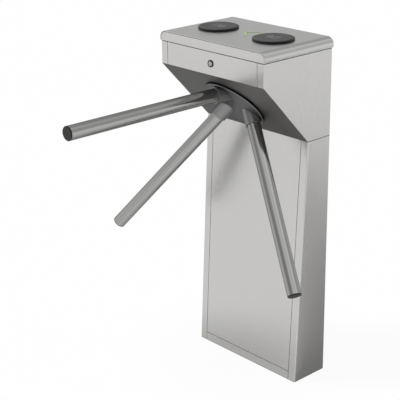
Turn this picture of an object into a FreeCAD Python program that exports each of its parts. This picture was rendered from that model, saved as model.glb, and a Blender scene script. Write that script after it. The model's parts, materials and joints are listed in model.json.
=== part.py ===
import FreeCAD, Part
import math
import os

os.makedirs("parts", exist_ok=True)
V = FreeCAD.Vector

# Sizes in mm. X runs across the cabinet, -Y faces the passage, Z is up from the floor.

# Clearances
FIT = 0.05  # radial clearance of close fits
LOOSE = 0.5  # radial clearance of bolt holes
HEAD_ROOM = 1.5  # radial room round a bolt head in its pocket
THREAD_GAP = 0.1
OVERCUT = 1.0  # how far a cut runs past the face it opens

# Cabinet
HEIGHT = 1000.0  # floor to the lid's top face
WIDTH = 400.0
HEAD_HEIGHT = 275.0  # lid's top face down to the joint with the pedestal
HEAD_DEPTH = 261.0
FOOT_DEPTH = 126.0  # pedestal depth at the floor
LID_HEIGHT = 30.0  # lid's top face down to the rim of the head
FRONT_HEIGHT = 63.0  # upright front plate of the head
SLOPE_DEG = 46.5  # sloped panel, from the horizontal
SHEET = 2.0
FLANGE = 25.0  # visible flange of each side sheet beside the panels
LAP = 20.0  # joggled lip behind each panel edge
LAP_ROOT = 10.0  # part of that lip behind the flange itself
LAP_GAP = 0.8  # lip to the fold above it
RIM = 15.0  # inward fold round the top and bottom of the shells
SEAM = 1.4  # gap between neighbouring panels
GROOVE = 1.6  # gap round the joint of pedestal and head
BEND_R = 3.0
SLOPE_LIP = 20.0  # upturned sides of the sloped panel
SLOPE_GAP = 0.1  # sloped panel to the front plate
SLOPE_LIP_GAP = 1.0  # upturned sides to the lips of the front plate
KICK_HEIGHT = 27.0
BASE_T = 12.0
BASE_GAP = 0.4  # base plate to the front lips
ANCHOR_INSET_X = 50.0  # anchor holes from the sides of the foot
ANCHOR_INSET_Y = 28.0  # anchor holes from its front and back
ANCHOR_R = 7.0
CABLE_HOLE_R = 26.0
GROMMET_WALL = 4.0
GROMMET_LIFT = 1.0

# Lid and hinge
LID_OVER = 1.0  # overhang of the lid in front and behind
LID_BULGE = 3.0  # and of its bent sides at their widest
LID_BEND_DEG = 112.0
END_BEVEL = 1.4  # groove round the end plates of the lid
LID_RETURN = 12.0
GASKET_T = 2.0
GASKET_W = 8.0
GASKET_INSET = 4.0
HINGE_LENGTH = 300.0
HINGE_KNUCKLES = 5
HINGE_R = 5.0
HINGE_PIN_R = 2.5
HINGE_T = 2.0
LEAF_HEIGHT = 22.0  # fixed leaf below the knuckles
LEAF_TOP_GAP = 5.0  # moving leaf to the lid's top face
KNUCKLE_GAP = 0.5

# Card readers and indicator
READER_X = 106.0
READER_R = 57.0
READER_RIM_W = 3.0
READER_RIM_H = 4.6
READER_RIM_GAP = 0.2
READER_H = 6.0
READER_EDGE = 1.2  # chamfer round the face of the cover
READER_SEAT = 9.0  # overlap of the disc on the lid round its hole
READER_BOSS_GAP = 2.0
READER_BOSS_DROP = 6.0
CIRCUIT_INSET = 2.0  # reader circuit within the boss of its cover
CIRCUIT_T = 12.0
MARK_W = 6.0  # stroke of the arrow mark
MARK_ARM = 42.0
MARK_X = 9.0  # point of the mark beside the lid's centre
MARK_BACK = 9.0  # and behind it
MARK_RISE = 0.5
MARK_GAP = 0.2
LENS_T = 2.0
LENS_BORDER = 5.0

# Cam lock in the front plate
LOCK_R = 8.5
LOCK_LIP = 1.5
LOCK_HEAD_T = 2.0
LOCK_HOLE_GAP = 0.3
LOCK_BODY_L = 22.0
LOCK_PLUG_R = 6.0
LOCK_PLUG_TAIL = 1.0
LOCK_CAM_T = 2.5
LOCK_CAM_W = 12.0
LOCK_CAM_L = 22.0
LOCK_CAM_EYE = 3.0  # metal of the cam round the plug
LOCK_CAM_GAP = 0.5
LOCK_NUT_T = 5.0
LOCK_NUT_WALL = 2.5
KEYWAY_W = 1.6
KEYWAY_H = 7.0
KEEPER_W = 18.0
KEEPER_LIP_GAP = 1.0
KEEPER_BACK = 5.0  # cam to the upright of the keeper
KEEPER_NOSE = 1.0  # lip of the keeper past the cam

# Tripod: its frame has the origin on the slope's outer face, Z outward along the hub axis
HUB_TOE = 24.9  # foot of the slope to the edge of the hub
APEX_IN = 53.1  # arm axes meet this far behind the slope's face
ARM_REACH = 608.4  # meeting point to the tip of an end cap
ARM_R = 19.05
ARM_WALL = 2.0
ARM_SEAT = 3.2  # lowest point of a tube's root above the back of the hub
SOCKET_DEPTH = 16.0
SOCKET_RUN = 30.0  # clears the hub beside a tube past its socket
SOCKET_FLOOR = 8.0
BOSS_WALL = 2.95
BOSS_FLARE = 2.0
BOSS_RUN = 40.0  # start of a boss before the root of its tube
CAP_T = 3.0
CAP_EDGE = 1.0
CAP_PLUG = 20.0
PLUG_L = 26.0
ARM_BOLT_R = 5.0
ARM_BOLT_HEAD_R = 8.0
ARM_BOLT_HEAD_L = 10.0
ARM_BOLT_L = 26.0
POCKET_L = 45.0
HUB_GAP = 2.5  # slope to the back of the hub
HUB_R = 95.0
HUB_T = 6.0
HUB_BEVEL = 2.5
HUB_BOLT_R = 6.0
HUB_BOLT_HEAD_R = 9.0
HUB_BOLT_HEAD_L = 7.0
HUB_BOLT_L = 34.0
HUB_CAP_T = 2.0
HUB_CAP_SEAT = 3.5

# Shaft, bearings and mechanism frame, depths behind the slope's outer face
SHAFT_R = 12.5
SHAFT_STEP = 4.0  # collars past the shaft
INNER_RACE_T = 4.5
BALL_SPACE = 5.0
OUTER_RACE_T = 4.0
BEARING_W = 15.0
HOUSING_WALL = 5.0
HOUSING_FLANGE_W = 7.0
HOUSING_FLANGE_T = 6.0
HOUSING_LIP = 2.0
HOUSING_END = 2.0
PLATE_HOLE_GAP = 3.5
SLOPE_HOLE_GAP = 7.5
FRAME_W = 240.0
FRAME_H = 180.0
PLATE_T = 6.0
FRONT_PLATE_AT = 16.0
PLATE_SPACING = 48.0
PILLAR_R = 8.0
PILLAR_INSET_X = 50.0
PILLAR_INSET_Y = 15.0
PILLAR_BOSS_R = 9.0  # bosses behind the slope that carry the front plate
PILLAR_BOSS_INSET_X = 15.0
PILLAR_BOSS_INSET_Y = 28.0
BOLT_R = 4.0
BOLT_HEAD_R = 6.5
BOLT_HEAD_L = 8.0
BOLT_END = 2.0  # tip of a bolt behind the sloped sheet

# Gears and lock wheel on the shaft
GEAR_MODULE = 2.0
GEAR_TEETH = 48
PINION_TEETH = 16
GEAR_W = 10.0
GEAR_SPREAD = 0.3  # extra centre distance
TOOTH_THIN = 0.35  # taken off each tooth's thickness
TOOTH_ROOT = 1.25  # depth below the pitch circle, in modules
FLANK_STEPS = 4
PRESSURE_DEG = 20.0
GEAR_GAP = 4.0  # lock wheel to drive gear
WHEEL_T = 8.0
WHEEL_CLEAR = 4.3  # lock wheel to the collar of the centring stud
WHEEL_NOTCHES = 12
WHEEL_GAP = 6.0  # rear plate to lock wheel
NOTCH_W = 11.0
NOTCH_TAPER = 1.0
NOTCH_DEPTH = 7.0
SPACER_WALL = 8.0
THREAD_STEP = 2.5
THREAD_TAIL = 3.0
NUT_WALL = 7.0
NUT_T = 9.0

# Damper and centring spring
DAMPER_CLEAR = 2.3  # damper to the flange of the rear bearing housing
DAMPER_L = 36.0
DAMPER_SHAFT_R = 4.5
DAMPER_HOLE_GAP = 2.5
DAMPER_END_GAP = 1.0
STUD_R = 5.0
STUD_COLLAR_R = 8.0
STUD_GAP = 0.5
STUD_TIP = 2.0
CRANK_AT = 12.0
CRANK_EDGE = 2.5
CRANK_T = 4.0
CRANK_GAP = 2.0
CRANK_PIN_R = 3.0
CRANK_PIN_L = 10.0
SPRING_POST_X = 95.0
SPRING_POST_R = 5.0
SPRING_R = 6.0
SPRING_WIRE_R = 1.0
SPRING_TURNS = 10
HOOK_GAP = 0.5
HOOK_RUN = 6.0

# Lock pawl and solenoid
PAWL_GAP = 2.0  # tooth tip to lock wheel when released
PAWL_ARM = 34.0
PAWL_TAIL = 28.0
PAWL_BOSS_R = 9.0
PAWL_W = 7.0
TOOTH_W = 6.0
TOOTH_L = 8.0
CLIP_T = 2.0
LINK_PIN_R = 2.0
LINK_GAP = 0.6
LINK_SLACK = 1.0
PLUNGER_R = 5.0
PLUNGER_L = 44.0
FORK_T = 2.0
SOLENOID_L = 42.0
SOLENOID_W = 30.0
SOLENOID_COVER = 7.0
SOLENOID_END = 3.0
SOLENOID_OFF = 20.0

# Electrics in the pedestal
CONTROL_W = 180.0
CONTROL_D = 34.0
CONTROL_H = 150.0
CONTROL_Z = 300.0
SUPPLY_W = 160.0
SUPPLY_D = 40.0
SUPPLY_H = 100.0
SUPPLY_Z = 130.0

# Screws of the back panels
SCREW_R = 2.0
SCREW_GAP = 0.2
SCREW_HEAD_R = 4.0
SCREW_HEAD_T = 2.2
SCREW_L = 8.0
SCREW_END = 40.0

# Values that follow from the sizes above
SLOPE = math.radians(SLOPE_DEG)
TILT_DEG = 90.0 - SLOPE_DEG
TILT = math.radians(TILT_DEG)
SHOULDER_Z = HEIGHT - HEAD_HEIGHT
X_OUT = WIDTH / 2
X_IN = X_OUT - SHEET
X_PANEL = X_OUT - FLANGE - SEAM
X_FOLD = X_OUT - max(FLANGE, RIM) - SEAM
Y_BACK = FOOT_DEPTH / 2
Y_FOOT = -FOOT_DEPTH / 2
Y_HEAD = Y_BACK - HEAD_DEPTH
Z_RIM = HEIGHT - LID_HEIGHT
Z_LOW = Z_RIM - FRONT_HEIGHT
Z_HEAD = SHOULDER_Z + GROOVE
Y_NECK = Y_HEAD + (Z_LOW - SHOULDER_Z) / math.tan(SLOPE)
LEAN = (Y_NECK - Y_FOOT) / SHOULDER_Z
SHEET_Y = SHEET * math.sqrt(1 + LEAN * LEAN)
ANCHOR_X = X_OUT - ANCHOR_INSET_X
ANCHOR_Y = Y_BACK - ANCHOR_INSET_Y
Z_LID = Z_RIM + GASKET_T
X_LID = X_OUT + LID_BULGE
LID_TUCK = math.radians(LID_BEND_DEG - 90.0)
LID_BEND_R = (HEIGHT - Z_LID) / (1 + math.sin(LID_TUCK))
X_LID_FOOT = X_LID - LID_BEND_R * (1 - math.cos(LID_TUCK))
Y_LID_FRONT = Y_HEAD - LID_OVER
Y_LID_BACK = Y_BACK + LID_OVER
Y_LID_MID = (Y_LID_FRONT + Y_LID_BACK) / 2
HINGE_Y = Y_LID_BACK + HINGE_T + HINGE_R
HINGE_Z = Z_RIM + GASKET_T / 2
LOCK_Z = (Z_RIM + Z_LOW) / 2
HUB_ALONG = (Z_LOW - SHOULDER_Z) / math.sin(SLOPE) - HUB_R - HUB_TOE
HUB_Y = Y_HEAD + HUB_ALONG * math.sin(TILT)
HUB_Z = Z_LOW - HUB_ALONG * math.cos(TILT)
ARM_ROOT = (APEX_IN + HUB_GAP + ARM_SEAT + ARM_R * math.sin(TILT)) / math.cos(TILT)
SHAFT_COLLAR_R = SHAFT_R + SHAFT_STEP
THREAD_R = SHAFT_R - THREAD_STEP
INNER_RACE_R = SHAFT_R + INNER_RACE_T
OUTER_RACE_R = INNER_RACE_R + BALL_SPACE
BEARING_R = OUTER_RACE_R + OUTER_RACE_T
HOUSING_R = BEARING_R + HOUSING_WALL
HOUSING_FLANGE_R = HOUSING_R + HOUSING_FLANGE_W
HOUSING_L = HOUSING_LIP + BEARING_W + HOUSING_END
PLATE_HOLE_R = SHAFT_COLLAR_R + PLATE_HOLE_GAP
FRONT_FACE = -(FRONT_PLATE_AT + PLATE_T)
REAR_PLATE = FRONT_FACE - PLATE_SPACING
REAR_FACE = REAR_PLATE - PLATE_T
GEAR_R = GEAR_MODULE * GEAR_TEETH / 2
PINION_R = GEAR_MODULE * PINION_TEETH / 2
CENTRES = GEAR_R + PINION_R + GEAR_SPREAD
WHEEL_R = CENTRES - STUD_COLLAR_R - WHEEL_CLEAR
WHEEL_AT = REAR_FACE - WHEEL_GAP
WHEEL_END = WHEEL_AT - WHEEL_T
GEAR_AT = WHEEL_END - GEAR_GAP
GEAR_END = GEAR_AT - GEAR_W
CRANK_R = CRANK_AT + CRANK_PIN_R + CRANK_EDGE
DAMPER_R = CENTRES - HOUSING_FLANGE_R - DAMPER_CLEAR


def box(x0, x1, y0, y1, z0, z1):
    return Part.makeBox(x1 - x0, y1 - y0, z1 - z0, V(x0, y0, z0))


def cyl(r, z0, z1, x=0.0, y=0.0):
    return Part.makeCylinder(r, z1 - z0, V(x, y, z0), V(0, 0, 1))


def cone(r0, r1, z0, z1, x=0.0, y=0.0):
    return Part.makeCone(r0, r1, z1 - z0, V(x, y, z0), V(0, 0, 1))


def cyl_y(r, y0, y1, x, z):
    return Part.makeCylinder(r, y1 - y0, V(x, y0, z), V(0, 1, 0))


def cyl_x(r, x0, x1, y, z):
    return Part.makeCylinder(r, x1 - x0, V(x0, y, z), V(1, 0, 0))


def hole(r, z0, z1, x=0.0, y=0.0):
    return cyl(r, z0 - OVERCUT, z1 + OVERCUT, x, y)


def ring(r_out, r_in, z0, z1, x=0.0, y=0.0):
    return cyl(r_out, z0, z1, x, y).cut(hole(r_in, z0, z1, x, y))


def prism_x(points, x0, x1):
    wire = Part.makePolygon([V(x0, y, z) for y, z in points + points[:1]])
    return Part.Face(wire).extrude(V(x1 - x0, 0, 0))


def prism_z(points, z0, z1):
    wire = Part.makePolygon([V(x, y, z0) for x, y in points + points[:1]])
    return Part.Face(wire).extrude(V(0, 0, z1 - z0))


def hexagon(r, z0, z1):
    corners = [math.radians(60.0 * corner) for corner in range(6)]
    return prism_z([(r * math.cos(turn), r * math.sin(turn)) for turn in corners], z0, z1)


def line(start, end):
    return Part.LineSegment(start, end).toShape()


def fuse(shapes):
    return shapes[0].fuse(shapes[1:]).removeSplitter()


def four_corners(x, y):
    return [(sx * x, sy * y) for sx in (-1, 1) for sy in (-1, 1)]


def round_corner(shape, y, inward, z0, z1, shift):
    side = X_OUT - BEND_R
    depth = y + inward * BEND_R
    reach = BEND_R * math.sqrt(0.5)
    middle = V(side + reach, depth - inward * reach, z0)
    edges = [
        line(V(side, y, z0), V(X_OUT, y, z0)),
        line(V(X_OUT, y, z0), V(X_OUT, depth, z0)),
        Part.Arc(V(X_OUT, depth, z0), middle, V(side, y, z0)).toShape(),
    ]
    return shape.cut(Part.Face(Part.Wire(edges)).extrude(V(0, shift, z1 - z0)))


def mirror_x(shape):
    return shape.mirror(V(0, 0, 0), V(1, 0, 0))


def hub_place(shape):
    placed = shape.copy()
    placed.rotate(V(0, 0, 0), V(1, 0, 0), 90.0 + TILT_DEG)
    placed.translate(V(0, HUB_Y, HUB_Z))
    return placed


def arm_place(shape, number):
    placed = shape.copy()
    placed.rotate(V(0, 0, 0), V(1, 0, 0), -TILT_DEG)
    placed.rotate(V(0, 0, 0), V(0, 0, 1), -120.0 * number)
    placed.translate(V(0, 0, -APEX_IN))
    return placed


def save(name, shape):
    shape.exportStep("parts/" + name + ".step")


def save_group(name, shapes):
    save(name, Part.makeCompound(shapes))


# Pedestal
def lean_y(z):
    return Y_FOOT + LEAN * z


def front_wall(inset, z0, z1, x0, x1):
    y0 = lean_y(z0) + inset
    y1 = lean_y(z1) + inset
    points = [(y1, z1), (y0, z0), (y0 + SHEET_Y, z0), (y1 + SHEET_Y, z1)]
    return prism_x(points, x0, x1)


SCREW_X = X_OUT - FLANGE - LAP / 2
PEDESTAL_SCREWS_Z = [BASE_T + SCREW_END, SHOULDER_Z / 2, SHOULDER_Z - SCREW_END]
HEAD_SCREWS_Z = [Z_HEAD + SCREW_END, Z_RIM - SCREW_END * 2]


def drill_back(shape, heights):
    for z in heights:
        for x in (-SCREW_X, SCREW_X):
            drill = cyl_y(SCREW_R + SCREW_GAP, Y_BACK - SHEET * 3, Y_BACK + OVERCUT, x, z)
            shape = shape.cut(drill)
    return shape


flange_x = X_OUT - FLANGE
rim_x = X_OUT - RIM
lap_x0 = flange_x - LAP
lap_x1 = flange_x + LAP_ROOT
back_in = Y_BACK - SHEET
back_lap = Y_BACK - SHEET * 2
pedestal_lap_top = SHOULDER_Z - SHEET - LAP_GAP
side_profile = [(Y_FOOT, 0.0), (Y_BACK, 0.0), (Y_BACK, SHOULDER_Z), (Y_NECK, SHOULDER_Z)]
pedestal_side = fuse([
    prism_x(side_profile, X_IN, X_OUT),
    front_wall(0.0, 0.0, SHOULDER_Z, flange_x, X_OUT),
    front_wall(SHEET_Y, 0.0, pedestal_lap_top, lap_x0, lap_x1),
    box(flange_x, X_OUT, back_in, Y_BACK, 0.0, SHOULDER_Z),
    box(lap_x0, lap_x1, back_lap, back_in, 0.0, pedestal_lap_top),
    box(rim_x, X_OUT, Y_NECK, Y_BACK, SHOULDER_Z - SHEET, SHOULDER_Z),
])
pedestal_side = round_corner(pedestal_side, Y_FOOT, 1, 0.0, SHOULDER_Z, Y_NECK - Y_FOOT)
pedestal_side = round_corner(pedestal_side, Y_BACK, -1, 0.0, SHOULDER_Z, 0.0)
pedestal_side = drill_back(pedestal_side, PEDESTAL_SCREWS_Z)
save("pedestal_side_right", pedestal_side)
save("pedestal_side_left", mirror_x(pedestal_side))
save("kick_plate", front_wall(0.0, 0.0, KICK_HEIGHT - SEAM, -X_PANEL, X_PANEL))
save("pedestal_front_panel", front_wall(0.0, KICK_HEIGHT, SHOULDER_Z, -X_PANEL, X_PANEL))
pedestal_back = box(-X_PANEL, X_PANEL, back_in, Y_BACK, 0.0, SHOULDER_Z)
save("pedestal_back_panel", drill_back(pedestal_back, PEDESTAL_SCREWS_Z))

base_front = lean_y(BASE_T) + SHEET_Y * 2 + BASE_GAP
base = box(-X_IN, X_IN, base_front, back_lap, 0.0, BASE_T)
for x, y in four_corners(ANCHOR_X, ANCHOR_Y):
    base = base.cut(hole(ANCHOR_R, 0.0, BASE_T, x, y))
save("base_plate", base.cut(hole(CABLE_HOLE_R, 0.0, BASE_T)))
grommet_r = CABLE_HOLE_R - FIT
grommet_top = BASE_T + GROMMET_WALL
grommet = fuse([
    cyl(grommet_r, GROMMET_LIFT, BASE_T),
    cyl(grommet_r + GROMMET_WALL, BASE_T, grommet_top),
])
save("cable_grommet", grommet.cut(hole(CABLE_HOLE_R - GROMMET_WALL, GROMMET_LIFT, grommet_top)))

# Head
slope_end = Y_HEAD + (Z_LOW - Z_HEAD) / math.tan(SLOPE)
head_lap_top = Z_RIM - SHEET - LAP_GAP
head_profile = [
    (Y_HEAD, Z_RIM), (Y_HEAD, Z_LOW), (slope_end, Z_HEAD), (Y_BACK, Z_HEAD), (Y_BACK, Z_RIM),
]
head_side = fuse([
    prism_x(head_profile, X_IN, X_OUT),
    box(flange_x, X_OUT, Y_HEAD, Y_HEAD + SHEET, Z_LOW, Z_RIM),
    box(lap_x0, lap_x1, Y_HEAD + SHEET, Y_HEAD + SHEET * 2, Z_LOW + SHEET * 4, head_lap_top),
    box(flange_x, X_OUT, back_in, Y_BACK, Z_HEAD, Z_RIM),
    box(lap_x0, lap_x1, back_lap, back_in, Z_HEAD + SHEET, head_lap_top),
    box(rim_x, X_OUT, Y_HEAD, Y_BACK, Z_RIM - SHEET, Z_RIM),
    box(rim_x, X_OUT - GROOVE, Y_NECK + RIM, Y_BACK - GROOVE, SHOULDER_Z, SHOULDER_Z + SHEET),
])
head_side = round_corner(head_side, Y_HEAD, 1, Z_LOW - BEND_R * 2, Z_RIM, 0.0)
head_side = round_corner(head_side, Y_BACK, -1, Z_HEAD, Z_RIM, 0.0)
head_side = drill_back(head_side, HEAD_SCREWS_Z)
save("head_side_right", head_side)
save("head_side_left", mirror_x(head_side))

front_plate = fuse([
    box(-X_PANEL, X_PANEL, Y_HEAD, Y_HEAD + SHEET, Z_LOW, Z_RIM),
    box(-X_FOLD, X_FOLD, Y_HEAD, Y_HEAD + RIM, Z_RIM - SHEET, Z_RIM),
])
lock_hole = cyl_y(LOCK_R + LOCK_HOLE_GAP, Y_HEAD - OVERCUT, Y_HEAD + SHEET + OVERCUT, 0.0, LOCK_Z)
save("head_front_plate", front_plate.cut(lock_hole))
head_back = fuse([
    box(-X_PANEL, X_PANEL, back_in, Y_BACK, Z_HEAD, Z_RIM),
    box(-X_FOLD, X_FOLD, Y_BACK - RIM, Y_BACK, Z_RIM - SHEET, Z_RIM),
])
save("head_back_panel", drill_back(head_back, HEAD_SCREWS_Z))


# Sloped panel, with bosses for the mechanism frame behind it
def slope_z(y, inset):
    return Z_LOW - (y - Y_HEAD) * math.tan(SLOPE) + inset / math.cos(SLOPE)


def slope_y(z, inset):
    return Y_HEAD + (Z_LOW + inset / math.cos(SLOPE) - z) / math.tan(SLOPE)


def slope_band(inset0, inset1, y_top, z_end, x0, x1):
    points = [
        (y_top, slope_z(y_top, inset0)), (slope_y(z_end, inset0), z_end),
        (slope_y(z_end, inset1), z_end), (y_top, slope_z(y_top, inset1)),
    ]
    return prism_x(points, x0, x1)


FRAME_BOLTS = four_corners(FRAME_W / 2 - PILLAR_BOSS_INSET_X, FRAME_H / 2 - PILLAR_BOSS_INSET_Y)
slope_top = Y_HEAD + SHEET + SLOPE_GAP
lip_top = Y_HEAD + SHEET * 2 + SLOPE_LIP_GAP
lip_end = SHOULDER_Z + RIM
slope = fuse([
    slope_band(0.0, SHEET, slope_top, Z_HEAD, -X_IN, X_IN),
    slope_band(SHEET, SLOPE_LIP, lip_top, lip_end, X_IN - SHEET, X_IN),
    slope_band(SHEET, SLOPE_LIP, lip_top, lip_end, -X_IN, -X_IN + SHEET),
] + [hub_place(cyl(PILLAR_BOSS_R, -FRONT_PLATE_AT, -SHEET, x, y)) for x, y in FRAME_BOLTS])
slope = slope.cut(hub_place(hole(SHAFT_COLLAR_R + SLOPE_HOLE_GAP, -SHEET, 0.0)))
for x, y in FRAME_BOLTS:
    thread = cyl(BOLT_R + FIT, -FRONT_PLATE_AT - OVERCUT, -SHEET - BOLT_END / 2, x, y)
    slope = slope.cut(hub_place(thread))
save("slope_panel", slope)

screws = []
for z in PEDESTAL_SCREWS_Z + HEAD_SCREWS_Z:
    for x in (-SCREW_X, SCREW_X):
        head = cyl_y(SCREW_HEAD_R, Y_BACK, Y_BACK + SCREW_HEAD_T, x, z)
        screws.append(fuse([head, cyl_y(SCREW_R, Y_BACK - SCREW_L, Y_BACK, x, z)]))
save_group("back_panel_screws", screws)


# Lid and its gasket
def frame_x_y(x, y0, y1, inset, z0, z1):
    return box(-x + inset, x - inset, y0 + inset, y1 - inset, z0, z1)


gasket_edge = GASKET_INSET + GASKET_W
gasket = frame_x_y(X_OUT, Y_HEAD, Y_BACK, GASKET_INSET, Z_RIM, Z_LID)
save("lid_gasket", gasket.cut(frame_x_y(X_OUT, Y_HEAD, Y_BACK, gasket_edge, Z_RIM, Z_LID)))


def lid_block(inset, y0, y1):
    x = X_LID - LID_BEND_R
    z = HEIGHT - LID_BEND_R
    r = LID_BEND_R - inset
    foot = x + math.sqrt(r * r - (z - Z_LID) ** 2)
    left = Part.Arc(V(-foot, y0, Z_LID), V(-x - r, y0, z), V(-x, y0, z + r))
    right = Part.Arc(V(x, y0, z + r), V(x + r, y0, z), V(foot, y0, Z_LID))
    edges = [
        left.toShape(), line(V(-x, y0, z + r), V(x, y0, z + r)),
        right.toShape(), line(V(foot, y0, Z_LID), V(-foot, y0, Z_LID)),
    ]
    return Part.Face(Part.Wire(edges)).extrude(V(0, y1 - y0, 0))


def lid_end(y_outer, inward):
    plate = lid_block(SHEET + FIT, y_outer, y_outer + inward * SHEET)
    bounds = [(edge, edge.BoundBox) for edge in plate.Edges]
    outer = [(edge, b) for edge, b in bounds if max(abs(b.YMin - y_outer), abs(b.YMax - y_outer)) < FIT]
    return plate.makeChamfer(END_BEVEL, [edge for edge, b in outer if b.ZMax > Z_LID + FIT])


def mark(border, z0, z1):
    half = MARK_W / 2 + border
    strokes = []
    for turn in (45.0, -45.0):
        stroke = box(-half, MARK_ARM + border, -half, half, z0, z1)
        stroke.rotate(V(0, 0, 0), V(0, 0, 1), turn)
        strokes.append(stroke)
    arrow = fuse(strokes)
    arrow.translate(V(-MARK_X, Y_LID_MID + MARK_BACK, 0))
    return arrow


lid_under = HEIGHT - SHEET
lid_outer = lid_block(0.0, Y_LID_FRONT, Y_LID_BACK)
lid = lid_outer.cut(lid_block(SHEET, Y_LID_FRONT - OVERCUT, Y_LID_BACK + OVERCUT))
return_x = X_LID_FOOT - SHEET / 4
lid_return = box(-return_x, return_x, Y_LID_FRONT + SHEET, Y_LID_BACK - SHEET, Z_LID, Z_LID + SHEET)
lid_mouth = frame_x_y(X_LID_FOOT, Y_LID_FRONT, Y_LID_BACK, LID_RETURN, Z_LID, Z_LID + SHEET)
lid = fuse([lid, lid_return.cut(lid_mouth)])
for x in (-READER_X, READER_X):
    lid = lid.cut(hole(READER_R - READER_SEAT, lid_under, HEIGHT, x, Y_LID_MID))
save("top_lid", lid.cut(mark(MARK_GAP, lid_under - OVERCUT, HEIGHT + OVERCUT)))
save_group("lid_end_plates", [lid_end(Y_LID_FRONT, 1), lid_end(Y_LID_BACK, -1)])
lens_plate = mark(LENS_BORDER, lid_under - LENS_T, lid_under)
save("indicator_lens", fuse([lens_plate, mark(0.0, lid_under, HEIGHT + MARK_RISE)]))

# Card readers
cover_r = READER_R - READER_RIM_W - READER_RIM_GAP
boss_r = READER_R - READER_SEAT - READER_BOSS_GAP
cover_top = HEIGHT + READER_H
cover_low = HEIGHT - READER_BOSS_DROP
rims = []
circuits = []
for name, x in (("left", -READER_X), ("right", READER_X)):
    cover = fuse([
        cone(cover_r, cover_r - READER_EDGE, cover_top - READER_EDGE, cover_top, x, Y_LID_MID),
        cyl(cover_r, HEIGHT, cover_top - READER_EDGE, x, Y_LID_MID),
        cyl(boss_r, cover_low, HEIGHT, x, Y_LID_MID),
    ])
    save("reader_cover_" + name, cover)
    rims.append(ring(READER_R, READER_R - READER_RIM_W, HEIGHT, HEIGHT + READER_RIM_H, x, Y_LID_MID))
    circuits.append(cyl(boss_r - CIRCUIT_INSET, cover_low - CIRCUIT_T, cover_low, x, Y_LID_MID))
save_group("reader_rims", rims)
save_group("reader_modules", circuits)


# Lid hinge
def hinge_leaf(indices, bore, plate, web_y, web_z):
    pitch = HINGE_LENGTH / HINGE_KNUCKLES
    leaf = plate
    for index in indices:
        x0 = -HINGE_LENGTH / 2 + index * pitch + KNUCKLE_GAP / 2
        x1 = x0 + pitch - KNUCKLE_GAP
        barrel = cyl_x(HINGE_R, x0, x1, HINGE_Y, HINGE_Z)
        web = box(x0, x1, web_y, HINGE_Y, web_z, web_z + HINGE_T)
        leaf = fuse([leaf, barrel, web]).cut(cyl_x(bore, x0 - OVERCUT, x1 + OVERCUT, HINGE_Y, HINGE_Z))
    return leaf


hinge_x = HINGE_LENGTH / 2
web_low = HINGE_Z - HINGE_R
web_high = HINGE_Z + HINGE_R - HINGE_T
fixed_plate = box(-hinge_x, hinge_x, Y_BACK, Y_BACK + HINGE_T, web_low - LEAF_HEIGHT, web_low + HINGE_T)
moving_plate = box(-hinge_x, hinge_x, Y_LID_BACK, Y_LID_BACK + HINGE_T, web_high, HEIGHT - LEAF_TOP_GAP)
fixed = range(0, HINGE_KNUCKLES, 2)
moving = range(1, HINGE_KNUCKLES, 2)
fixed_leaf = hinge_leaf(fixed, HINGE_PIN_R + FIT / 2, fixed_plate, Y_BACK, web_low)
moving_leaf = hinge_leaf(moving, HINGE_PIN_R + FIT, moving_plate, Y_LID_BACK, web_high)
save("lid_hinge_fixed_leaf", fixed_leaf)
save("lid_hinge_moving_leaf", moving_leaf)
save("lid_hinge_pin", cyl_x(HINGE_PIN_R, -hinge_x, hinge_x, HINGE_Y, HINGE_Z))

# Cam lock, cam hanging down when open
lock_front = Y_HEAD - LOCK_HEAD_T
lock_back = Y_HEAD + LOCK_BODY_L
cam_y0 = lock_back + LOCK_CAM_GAP
cam_y1 = cam_y0 + LOCK_CAM_T
plug_bore = cyl_y(LOCK_PLUG_R + FIT, lock_front - OVERCUT, cam_y1 + OVERCUT, 0.0, LOCK_Z)
lock_body = fuse([
    cyl_y(LOCK_R + LOCK_LIP, lock_front, Y_HEAD, 0.0, LOCK_Z),
    cyl_y(LOCK_R, Y_HEAD, lock_back, 0.0, LOCK_Z),
])
save("lock_body", lock_body.cut(plug_bore))
lock_nut = hexagon((LOCK_R + LOCK_NUT_WALL) * 2 / math.sqrt(3), 0.0, LOCK_NUT_T)
lock_nut = lock_nut.cut(hole(LOCK_R + THREAD_GAP, 0.0, LOCK_NUT_T))
lock_nut.rotate(V(0, 0, 0), V(1, 0, 0), -90)
lock_nut.translate(V(0, Y_HEAD + SHEET, LOCK_Z))
save("lock_nut", lock_nut)
plug = cyl_y(LOCK_PLUG_R, lock_front, cam_y1 + LOCK_PLUG_TAIL, 0.0, LOCK_Z)
keyway = box(
    -KEYWAY_W / 2, KEYWAY_W / 2, lock_front - OVERCUT, Y_HEAD + LOCK_BODY_L / 2,
    LOCK_Z - KEYWAY_H / 2, LOCK_Z + KEYWAY_H / 2,
)
save("lock_plug", plug.cut(keyway))
cam = fuse([
    box(-LOCK_CAM_W / 2, LOCK_CAM_W / 2, cam_y0, cam_y1, LOCK_Z - LOCK_CAM_L, LOCK_Z),
    cyl_y(LOCK_PLUG_R + LOCK_CAM_EYE, cam_y0, cam_y1, 0.0, LOCK_Z),
])
save("lock_cam", cam.cut(plug_bore))
keeper_z = LOCK_Z + LOCK_CAM_W / 2 + KEEPER_LIP_GAP
keeper_x1 = -LOCK_R - LOCK_PLUG_R
keeper_x0 = keeper_x1 - KEEPER_W
keeper_y0 = cam_y1 + KEEPER_BACK
keeper_y1 = keeper_y0 + SHEET
keeper = fuse([
    box(keeper_x0, keeper_x1, keeper_y0, keeper_y1, keeper_z, lid_under),
    box(keeper_x0, keeper_x1, cam_y0 - KEEPER_NOSE, keeper_y1, keeper_z, keeper_z + SHEET),
    box(keeper_x0, keeper_x1, keeper_y0, keeper_y0 + RIM, lid_under - SHEET, lid_under),
])
save("lid_keeper", keeper)

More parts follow.
